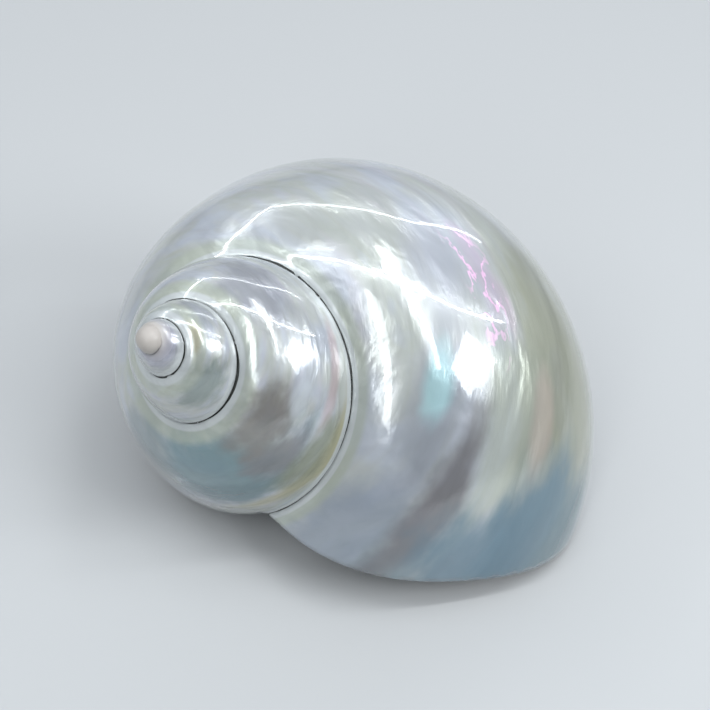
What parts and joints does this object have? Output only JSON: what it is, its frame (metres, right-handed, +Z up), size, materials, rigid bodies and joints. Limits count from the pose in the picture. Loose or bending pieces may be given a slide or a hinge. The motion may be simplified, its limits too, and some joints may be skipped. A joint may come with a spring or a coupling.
{
  "type": "turban shell",
  "caption": "Polished mother-of-pearl turban sea shell: a low spire of rounded whorls on a large inflated last whorl with an open, thin-edged mouth underneath.",
  "frame": {"origin": "on the surface the shell lies on, under the middle of its bounding box", "axes": "+Z up, +X away from the tip along the shell's longest side, -Y to the side the tip and the lip show"},
  "size_m": [0.061, 0.048, 0.0364],
  "materials": {
    "nacre": "polished mother-of-pearl with a wet-looking gloss: silver grey with soft zones of pink, green and gold"
  },
  "bodies": {
    "root": {"shell": "nacre"}
  },
  "joints": []
}
